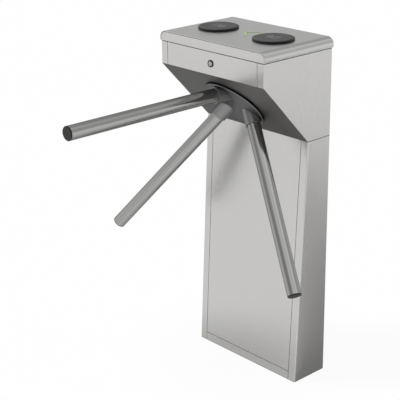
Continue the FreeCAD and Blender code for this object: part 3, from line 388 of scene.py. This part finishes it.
def edge_mask(tree, radius):
    """A mask that is 1 on edges and corners and 0 on flats, and the normal rounded over the edges."""
    bevel = tree.nodes.new("ShaderNodeBevel")
    bevel.samples = EDGE_SAMPLES
    bevel.inputs["Radius"].default_value = radius
    geometry = tree.nodes.new("ShaderNodeNewGeometry")
    dot = tree.nodes.new("ShaderNodeVectorMath")
    dot.operation = "DOT_PRODUCT"
    tree.links.new(bevel.outputs["Normal"], dot.inputs[0])
    tree.links.new(geometry.outputs["Normal"], dot.inputs[1])
    mask = spread(tree, dot.outputs["Value"], 1.0, 0.0, EDGE_SHARP, EDGE_FLAT)
    return mask, bevel.outputs["Normal"]


def shade_gaps(tree, depth, colour, keep):
    """Painted shade: darkens a colour to keep times itself in gaps narrower than the depth."""
    shade = tree.nodes.new("ShaderNodeAmbientOcclusion")
    shade.samples = GAP_SAMPLES
    shade.inputs["Distance"].default_value = depth
    return scaled(tree, colour, spread(tree, shade.outputs["AO"], keep, 1.0, *GAP_RANGE))


def rise(tree, height, bump, normal=None):
    """A normal that follows a height, over a given normal or the piece's own."""
    node = tree.nodes.new("ShaderNodeBump")
    strength, distance = bump
    node.inputs["Strength"].default_value = strength
    node.inputs["Distance"].default_value = distance
    tree.links.new(height, node.inputs["Height"])
    if normal is not None:
        tree.links.new(normal, node.inputs["Normal"])
    return node.outputs["Normal"]


def set_metal(shader, metallic, grazing):
    """Sets the share of metal, and the grey of the mirror image at grazing angles."""
    shader.inputs["Metallic"].default_value = metallic
    shader.inputs["Specular Tint"].default_value = (grazing, grazing, grazing, 1.0)


def ray_kinds(tree):
    """Two outputs: 1 for what the camera sees, and 1 for what mirrors and glass show."""
    path = tree.nodes.new("ShaderNodeLightPath")
    mirrored = combine(tree, "MAXIMUM", path.outputs["Is Glossy Ray"], path.outputs["Is Transmission Ray"])
    return path.outputs["Is Camera Ray"], mirrored


# Materials
def brushed_metal(name, light, dark, axis, rough, grazing=STEEL_GRAZING, metallic=1.0, keep=GAP_SHADE_OUTSIDE):
    """Brushed metal: fine hairlines along one axis, broader rolling streaks, soft smudges, and painted
    shade in its gaps.
    """
    material, tree, shader = new_material(name)
    hair = noise(tree, brush_scale(axis, *HAIR_CELLS), detail=2.0)
    streak = noise(tree, brush_scale(axis, *STREAK_CELLS), detail=3.0)
    smudge = noise(tree, SMUDGE_CELLS, detail=1.0)
    hair_part = combine(tree, "MULTIPLY", hair, HAIR_SHARE)
    streak_part = combine(tree, "MULTIPLY", streak, 1.0 - HAIR_SHARE)
    lines = combine(tree, "ADD", hair_part, streak_part)
    mask, soft_normal = edge_mask(tree, METAL_EDGE)
    colour = tint(tree, spread(tree, lines, 0.0, 1.0, *LINE_RANGE), dark, light)
    edge_share = combine(tree, "MULTIPLY", mask, METAL_WEAR)
    edge_tinted = tint(tree, edge_share, colour, paler(light, METAL_PALER))
    # Painted shade darkens the colour in gaps and seams
    tree.links.new(shade_gaps(tree, GAP_DEPTH, edge_tinted, keep), shader.inputs["Base Color"])
    base = spread(tree, streak, rough - STREAK_ROUGH, rough + STREAK_ROUGH)
    finger = spread(tree, smudge, 0.0, SMUDGE_ROUGH, *SMUDGE_RANGE)
    tree.links.new(combine(tree, "ADD", base, finger), shader.inputs["Roughness"])
    set_metal(shader, metallic, grazing)
    tree.links.new(rise(tree, hair, HAIR_BUMP, soft_normal), shader.inputs["Normal"])
    return material


def moulded(name, colour, worn_colour, rough, pebble=PEBBLE_FINE, gloss=PLASTIC_GLOSS):
    """Moulded plastic or rubber: fine pebble, dull patches and paler rubbed edges."""
    material, tree, shader = new_material(name)
    grain = noise(tree, even(pebble), detail=2.0)
    patch = noise(tree, even(DULL_CELLS), detail=4.0)
    mask, soft_normal = edge_mask(tree, MOULD_EDGE)
    base = tint(tree, spread(tree, patch, 0.0, DULL_SHARE), colour, worn_colour)
    edge_share = combine(tree, "MULTIPLY", mask, MOULD_WEAR)
    rubbed = tint(tree, edge_share, base, paler(worn_colour, MOULD_PALER))
    tree.links.new(rubbed, shader.inputs["Base Color"])
    tree.links.new(spread(tree, patch, rough - DULL_ROUGH, rough + DULL_ROUGH), shader.inputs["Roughness"])
    shader.inputs["Specular IOR Level"].default_value = gloss
    tree.links.new(rise(tree, grain, PEBBLE_BUMP, soft_normal), shader.inputs["Normal"])
    return material


def slope_sheet():
    """Satin sheet under the head, dark as painted shade, a little warmer towards its right end."""
    material = brushed_metal(
        "slope_sheet", SLOPE_LIGHT, SLOPE_DARK, ALONG_X, SLOPE_ROUGH, DARK_GRAZING, SLOPE_METAL
    )
    tree = material.node_tree
    shader = tree.nodes["Principled BSDF"]
    grain = shader.inputs["Base Color"].links[0].from_socket
    split = tree.nodes.new("ShaderNodeSeparateXYZ")
    tree.links.new(own_place(tree), split.inputs["Vector"])
    drift = noise(tree, even(DRIFT_CELLS), detail=1.0)
    toward = combine(tree, "ADD", split.outputs["X"], spread(tree, drift, -DRIFT, DRIFT))
    warm = tint(tree, spread(tree, toward, 0.0, WARM_SHARE, *WARM_RANGE), grain, SLOPE_WARM)
    tree.links.new(warm, shader.inputs["Base Color"])
    return material


def polished_tube(name, way):
    """Polished tube: lengthwise streaks along the tube's own direction, partly polishing marks and partly
    painted reflection.
    """
    material, tree, shader = new_material(name)
    turn = tree.nodes.new("ShaderNodeMapping")
    upright = Vector((0, 0, 1)).rotation_difference(way).inverted()
    turn.inputs["Rotation"].default_value = upright.to_euler()
    tree.links.new(own_place(tree), turn.inputs["Vector"])
    turned = turn.outputs["Vector"]
    hair = tube_noise(tree, turned, TUBE_HAIR, detail=2.0)
    polish_and_reflection = tube_noise(tree, turned, TUBE_POLISH_AND_REFLECTION, detail=2.0)
    smudge = tube_noise(tree, turned, TUBE_SMUDGE, detail=4.0)
    colour = tint(tree, spread(tree, polish_and_reflection, 0.0, 1.0, *TUBE_RANGE), TUBE_DARK, TUBE_LIGHT)
    tree.links.new(colour, shader.inputs["Base Color"])
    tree.links.new(spread(tree, smudge, *TUBE_ROUGH), shader.inputs["Roughness"])
    set_metal(shader, 1.0, TUBE_GRAZING)
    tree.links.new(rise(tree, hair, TUBE_BUMP), shader.inputs["Normal"])
    return material


def hub_casting():
    """Cast hub: a dark blasted face, painted shade on its rim wall, a painted highlight on its edges, and
    its arm bosses turned bright above it.
    """
    material, tree, shader = new_material("hub_alloy")
    grain = noise(tree, even(HUB_GRAIN), detail=2.0)
    patch = noise(tree, even(HUB_PATCH), detail=4.0)
    mask, soft_normal = edge_mask(tree, HUB_EDGE)
    height = project(tree, own_place(tree), HUB_OUT)
    face = HUB_AT.dot(HUB_OUT) + HUB_FACE
    rim = spread(tree, height, 0.0, 1.0, face + RIM_SHADE_ENDS[0], face + RIM_SHADE_ENDS[1])
    raised = spread(tree, height, 0.0, 1.0, face + BOSS_BEGINS[0], face + BOSS_BEGINS[1])
    cast = tint(tree, spread(tree, patch, 0.0, 1.0), HUB_DARK, HUB_LIGHT)
    turned = tint(tree, spread(tree, patch, 0.0, 1.0), BOSS_DARK, BOSS_LIGHT)
    # Painted highlight on the hub's edges, towards the bosses' colour
    edge_share = combine(tree, "MULTIPLY", mask, HUB_EDGE_HIGHLIGHT)
    edge_tinted = tint(tree, edge_share, tint(tree, raised, cast, turned), BOSS_LIGHT)
    # Painted shade on the rim wall below the face
    colour = tint(tree, rim, HUB_RIM_SHADE, edge_tinted)
    tree.links.new(shade_gaps(tree, HUB_GAP, colour, HUB_GAP_SHADE_KEEP), shader.inputs["Base Color"])
    tree.links.new(spread(tree, patch, *HUB_ROUGH), shader.inputs["Roughness"])
    set_metal(shader, 1.0, DARK_GRAZING)
    tree.links.new(rise(tree, grain, HUB_BUMP, soft_normal), shader.inputs["Normal"])
    return material


def lit_lens():
    """Green window with a faint light behind it."""
    material, tree, shader = new_material("green_lens")
    cloud = noise(tree, even(LENS_CELLS), detail=2.0)
    colour = tint(tree, spread(tree, cloud, 0.0, 1.0), GREEN_DEEP, GREEN)
    tree.links.new(colour, shader.inputs["Base Color"])
    tree.links.new(colour, shader.inputs["Emission Color"])
    shader.inputs["Emission Strength"].default_value = LENS_GLOW
    tree.links.new(spread(tree, cloud, *LENS_ROUGH), shader.inputs["Roughness"])
    return material


# Materials for the frame's nodes
steel_upright = brushed_metal("stainless_upright", STEEL_LIGHT, STEEL_DARK, ALONG_Z, STEEL_ROUGH)
steel_level = brushed_metal("stainless_level", STEEL_LIGHT, STEEL_DARK, ALONG_X, STEEL_ROUGH)
steel_lid = brushed_metal("stainless_lid", LID_LIGHT, LID_DARK, ALONG_X, LID_ROUGH)
nickel = brushed_metal("lock_metal", NICKEL_LIGHT, NICKEL_DARK, ALONG_X, NICKEL_ROUGH)
lock_ring = brushed_metal("lock_ring", RING_LIGHT, RING_DARK, ALONG_X, RING_ROUGH)
machined = brushed_metal(
    "machined_steel", MACHINED_LIGHT, MACHINED_DARK, ALONG_X, MACHINED_ROUGH,
    metallic=MACHINED_METAL, keep=GAP_SHADE_INSIDE,
)
supply_case = brushed_metal(
    "supply_case", SUPPLY_LIGHT, SUPPLY_DARK, ALONG_Z, SUPPLY_ROUGH,
    metallic=SUPPLY_METAL, keep=GAP_SHADE_INSIDE,
)
black_rubber = moulded("black_rubber", BLACK, BLACK_WORN, RUBBER_ROUGH, pebble=PEBBLE_COARSE)
sign_print = moulded("sign_print", PRINT_GREY, PRINT_WORN, PRINT_ROUGH, gloss=READER_GLOSS)

SLOT_MATERIALS = {
    "stainless_sheet": steel_upright,
    "slope_sheet": slope_sheet(),
    "hub_alloy": hub_casting(),
    "lock_metal": nickel,
    "machined_steel": machined,
    "black_plastic": moulded("black_plastic", BLACK, BLACK_WORN, BLACK_ROUGH, gloss=BLACK_GLOSS),
    "reader_plastic": moulded("reader_plastic", READER_GREY, READER_WORN, READER_ROUGH, gloss=READER_GLOSS),
    "control_plastic": moulded("control_plastic", CONTROL_GREY, CONTROL_WORN, CONTROL_ROUGH),
    "supply_case": supply_case,
    "black_rubber": black_rubber,
    "green_lens": lit_lens(),
}
NODE_MATERIALS = {
    "top_lid": steel_lid,
    "lid_end_plates": steel_level,
    "lock_body": lock_ring,
    "kick_plate": steel_level,
    "head_front_plate": steel_level,
}
for number, way in enumerate(ARM_WAYS, 1):
    NODE_MATERIALS["arm_%d" % number] = polished_tube("polished_tube_%d" % number, way)


def dress(piece, material):
    """Gives a piece one material."""
    piece.data.materials.clear()
    piece.data.materials.append(material)


node_slot = {row["node"]: row["material_slot"] for row in frame["record"]["subparts"]}
for name, piece in frame["nodes"].items():
    material = NODE_MATERIALS.get(name)
    if material is None:
        material = SLOT_MATERIALS[node_slot[name]]
    dress(piece, material)


# Making of objects
def add_object(name, data):
    """Makes an object and puts it in the scene."""
    thing = bpy.data.objects.new(name, data)
    bpy.context.collection.objects.link(thing)
    return thing


def add_shape(name, shape):
    """Makes an object from a bmesh, which is used up."""
    mesh = bpy.data.meshes.new(name)
    shape.to_mesh(mesh)
    shape.free()
    return add_object(name, mesh)


# Dark strip in the groove between the lid and its end plates, as painted shade
def lid_profile(inset):
    """Points of the lid's outline, moved inward, from one foot to the other."""
    radius = BEND_R - inset
    tuck = math.asin((BEND_Z - LID_FOOT) / radius)
    turns = [-tuck + (math.pi / 2 + tuck) * step / BEND_STEPS for step in range(BEND_STEPS + 1)]
    right = [(BEND_X + radius * math.cos(t), BEND_Z + radius * math.sin(t)) for t in turns]
    return right + [(-x, z) for x, z in reversed(right)]


def groove_shade_strip(name, y_end, inward):
    """A dark strip of triangular section that follows the lid's outline, as painted shade in the groove."""
    shape = bmesh.new()
    rings = []
    y_face = y_end + inward * SHADE_STRIP_SINK
    sections = ((SHADE_STRIP_EDGE, y_face), (SHADE_STRIP_EDGE + SHADE_STRIP_W, y_face), (SHADE_STRIP_EDGE, y_face + inward * SHADE_STRIP_W))
    for inset, y in sections:
        rings.append([shape.verts.new((x, y, z)) for x, z in lid_profile(inset)])
    for first, second in zip(rings, rings[1:] + rings[:1]):
        for a, b, c, d in zip(first, first[1:], second[1:], second):
            shape.faces.new((a, b, c, d))
    for end in (0, -1):
        shape.faces.new([ring[end] for ring in rings])
    bmesh.ops.recalc_face_normals(shape, faces=list(shape.faces))
    piece = add_shape(name, shape)
    # Black as painted shade in the groove
    dress(piece, black_rubber)
    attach(piece, "lid")


for number, (y_end, inward) in enumerate(LID_ENDS, 1):
    groove_shade_strip("lid_groove_shade_%d" % number, y_end, inward)


# Signs printed on the readers: a card under three waves
def ribbon(shape, points, closed):
    """Adds a thin strip along points to a mesh, as wide as a line of the sign."""
    lift = Vector((0.0, 0.0, SIGN_RISE))
    rings = []
    last = len(points) - 1
    for index, point in enumerate(points):
        before = points[index - 1] if closed or index > 0 else point
        after = points[(index + 1) % len(points)] if closed or index < last else point
        along = after - before
        side = Vector((-along.y, along.x, 0.0)).normalized() * SIGN_LINE / 2
        section = (point + side, point - side, point - side + lift, point + side + lift)
        rings.append([shape.verts.new(corner) for corner in section])
    following = rings[1:] + rings[:1] if closed else rings[1:]
    for first, second in zip(rings, following):
        for a, b, c, d in zip(first, first[1:] + first[:1], second[1:] + second[:1], second):
            shape.faces.new((a, b, c, d))
    if not closed:
        for end in (0, -1):
            shape.faces.new(rings[end])


def sign_lines():
    """Lines of the sign in its own plane: the points of each, and whether it is closed."""
    lines = []
    steps = range(-WAVE_REACH, WAVE_REACH + 1)
    turns = [math.radians(WAVE_MIDDLE + WAVE_STEP * step) for step in steps]
    for radius in SIGN_WAVES:
        lines.append(([Vector((radius * math.cos(t), radius * math.sin(t), 0.0)) for t in turns], False))
    half_w = SIGN_CARD[0] / 2
    corners = ((-half_w, 0.0), (half_w, 0.0), (half_w, -SIGN_CARD[1]), (-half_w, -SIGN_CARD[1]))
    lines.append(([Vector((x, y, 0.0)) for x, y in corners], True))
    return lines


def reader_sign(name, x, turn):
    """The sign as a thin print on a reader's top."""
    shape = bmesh.new()
    for points, closed in sign_lines():
        ribbon(shape, points, closed)
    bmesh.ops.recalc_face_normals(shape, faces=list(shape.faces))
    place = Matrix.Translation((x, READER_Y, READER_TOP)) @ Matrix.Rotation(math.radians(turn), 4, "Z")
    shape.transform(place)
    piece = add_shape(name, shape)
    dress(piece, sign_print)
    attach(piece, "lid")


reader_sign("reader_sign_left", -READER_X, -SIGN_TURN)
reader_sign("reader_sign_right", READER_X, SIGN_TURN)


# Camera
def make_camera():
    yaw = math.radians(CAMERA_YAW)
    pitch = math.radians(CAMERA_PITCH)
    roll = math.radians(CAMERA_ROLL)
    back = Vector((math.sin(yaw) * math.cos(pitch), -math.cos(yaw) * math.cos(pitch), math.sin(pitch)))
    right = Vector((math.cos(yaw), math.sin(yaw), 0.0))
    up = back.cross(right)
    turned_right = math.cos(roll) * right + math.sin(roll) * up
    turned_up = math.cos(roll) * up - math.sin(roll) * right
    data = bpy.data.cameras.new("camera")
    data.lens = CAMERA_LENS
    data.sensor_width = CAMERA_SENSOR
    camera = add_object("camera", data)
    rotation = Matrix((turned_right, turned_up, back)).transposed()
    camera.matrix_world = Matrix.Translation(CAMERA_AT) @ rotation.to_4x4()
    bpy.context.scene.camera = camera


make_camera()


# Floor: pale, with a soft shade round the foot
def floor_material():
    material, tree, shader = new_material("floor")
    reach = tree.nodes.new("ShaderNodeVectorMath")
    reach.operation = "LENGTH"
    tree.links.new(own_place(tree), reach.inputs[0])
    away = spread(tree, reach.outputs["Value"], 0.0, 1.0, *FLOOR_FADE)
    tree.links.new(tint(tree, away, FLOOR_NEAR, FLOOR_PALE), shader.inputs["Base Color"])
    shader.inputs["Roughness"].default_value = FLOOR_ROUGH
    shader.inputs["Specular IOR Level"].default_value = FLOOR_GLOSS
    white = tree.nodes.new("ShaderNodeEmission")
    white.inputs["Strength"].default_value = 1.0
    by_camera, by_mirror = ray_kinds(tree)
    seen = combine(tree, "MULTIPLY", by_camera, FLOOR_SEEN)
    mirrored = combine(tree, "MULTIPLY", by_mirror, FLOOR_MIRRORED)
    blend = tree.nodes.new("ShaderNodeMixShader")
    tree.links.new(combine(tree, "MAXIMUM", seen, mirrored), blend.inputs["Fac"])
    tree.links.new(shader.outputs["BSDF"], blend.inputs[1])
    tree.links.new(white.outputs["Emission"], blend.inputs[2])
    tree.links.new(blend.outputs["Shader"], tree.nodes["Material Output"].inputs["Surface"])
    return material


def make_floor():
    mesh = bpy.data.meshes.new("floor")
    half = FLOOR_HALF
    corners = [(-half, -half, 0), (half, -half, 0), (half, half, 0), (-half, half, 0)]
    mesh.from_pydata(corners, [], [(0, 1, 2, 3)])
    floor = add_object("floor", mesh)
    dress(floor, floor_material())


make_floor()


# Room: bright at the horizon and overhead, greyer between them, with two darker parts
def make_world():
    world = bpy.data.worlds.new("studio")
    world.use_nodes = True
    bpy.context.scene.world = world
    tree = world.node_tree
    background = tree.nodes["Background"]
    direction = tree.nodes.new("ShaderNodeTexCoord").outputs["Generated"]
    split = tree.nodes.new("ShaderNodeSeparateXYZ")
    ramp = tree.nodes.new("ShaderNodeValToRGB")
    elements = ramp.color_ramp.elements
    while len(elements) < len(ROOM_LEVELS):
        elements.new(0.5)
    for element, (place_up, level) in zip(elements, ROOM_LEVELS):
        element.position = place_up
        element.color = (level, level, level, 1.0)
    tree.links.new(direction, split.inputs["Vector"])
    tree.links.new(split.outputs["Z"], ramp.inputs["Fac"])
    dims = []
    for toward, least, start, end in DARK_WALLS:
        dims.append(spread(tree, project(tree, direction, toward), 1.0, least, start, end))
    dim = combine(tree, "MULTIPLY", dims[0], dims[1])
    tree.links.new(scaled(tree, ramp.outputs["Color"], dim), background.inputs["Color"])
    by_camera, by_mirror = ray_kinds(tree)
    shown = combine(tree, "MAXIMUM", by_camera, by_mirror)
    tree.links.new(spread(tree, shown, ROOM_LIGHT, ROOM_SEEN, 0.0, 1.0), background.inputs["Strength"])


make_world()


# One large soft lamp, in front to the left, which mirrors don't show
def make_lamp():
    data = bpy.data.lights.new("key", "SUN")
    data.energy = LAMP_ENERGY
    data.angle = math.radians(LAMP_WIDTH)
    lamp = add_object("key", data)
    turn = math.radians(LAMP_TURN)
    fall = math.radians(LAMP_FALL)
    from_lamp = Vector((math.sin(turn) * math.cos(fall), math.cos(turn) * math.cos(fall), -math.sin(fall)))
    lamp.visible_glossy = False
    lamp.rotation_euler = from_lamp.to_track_quat("-Z", "Y").to_euler()


make_lamp()

bpy.context.scene.view_settings.view_transform = "Standard"
